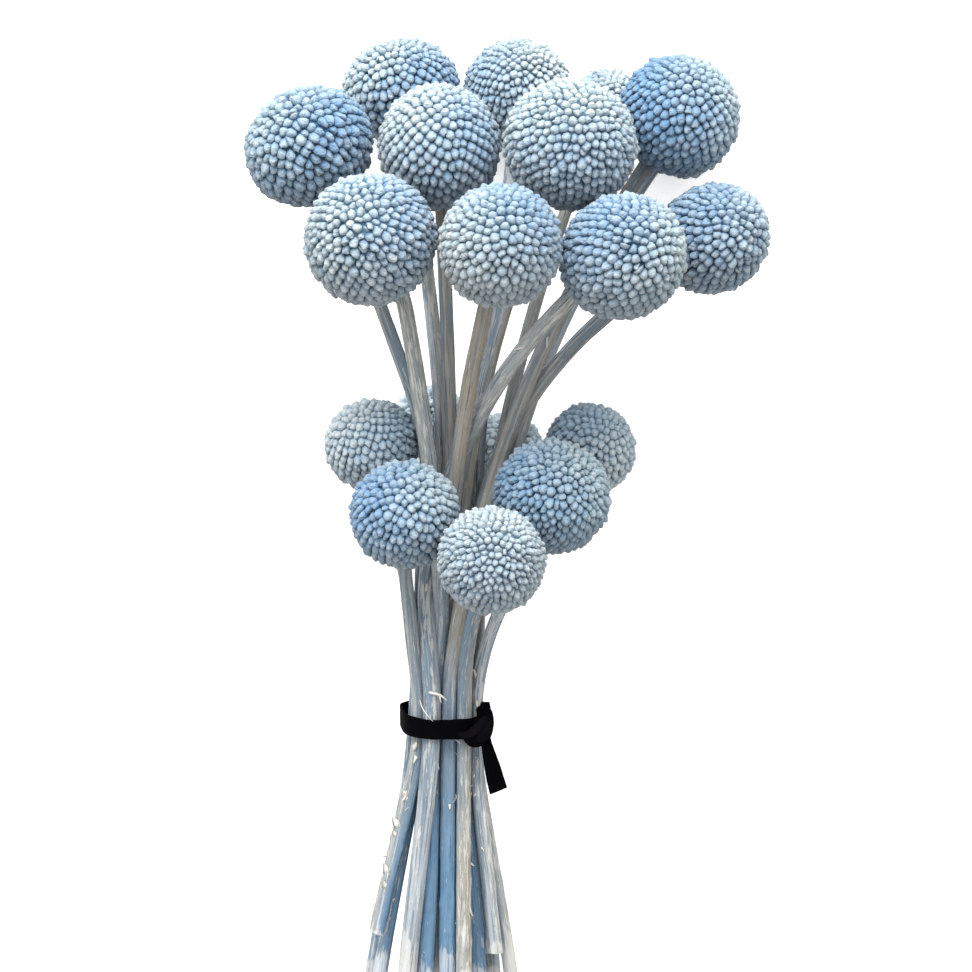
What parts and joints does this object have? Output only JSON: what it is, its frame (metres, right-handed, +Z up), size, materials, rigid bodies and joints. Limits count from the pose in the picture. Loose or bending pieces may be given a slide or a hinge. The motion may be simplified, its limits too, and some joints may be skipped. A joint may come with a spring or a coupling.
{
  "type": "tied bunch of dried craspedia flowers",
  "caption": "Bunch of dried, blue-dyed craspedia with globe heads of small florets on bare stems, tied with a flat black ribbon, lying on its back.",
  "frame": {"origin": "centre of the bounding box's bottom face, on the surface that the bunch lies on", "axes": "+Y along the stems towards the heads, +Z up from the surface, which is the side that faces the viewer in the picture, +X to the right in the picture"},
  "size_m": [0.131, 0.245, 0.0919],
  "materials": {
    "head_deep": "dry matt florets, deeper dusty blue with pale powdery tips",
    "head_dusty": "dry matt florets, dusty blue with pale powdery tips",
    "head_pale": "dry matt florets, pale grey-blue with a sage cast",
    "stem": "dry ribbed stem with streaks of blue and off-white dye over straw brown",
    "ribbon": "black woven ribbon, dull sheen"
  },
  "bodies": {
    "root": {"head_01": "head_dusty", "head_02": "head_pale", "head_03": "head_dusty", "head_04": "head_deep", "head_05": "head_deep", "head_06": "head_dusty", "head_07": "head_pale", "head_08": "head_deep", "head_09": "head_deep", "head_10": "head_dusty", "head_11": "head_pale", "head_12": "head_dusty", "head_13": "head_dusty", "head_14": "head_deep", "head_15": "head_pale", "head_16": "head_dusty", "head_17": "head_deep", "head_18": "head_pale", "head_19": "head_pale", "stem_01": "stem", "stem_02": "stem", "stem_03": "stem", "stem_04": "stem", "stem_05": "stem", "stem_06": "stem", "stem_07": "stem", "stem_08": "stem", "stem_09": "stem", "stem_10": "stem", "stem_11": "stem", "stem_12": "stem", "stem_13": "stem", "stem_14": "stem", "stem_15": "stem", "stem_16": "stem", "stem_17": "stem", "stem_18": "stem", "stem_19": "stem", "ribbon": "ribbon"}
  },
  "joints": []
}
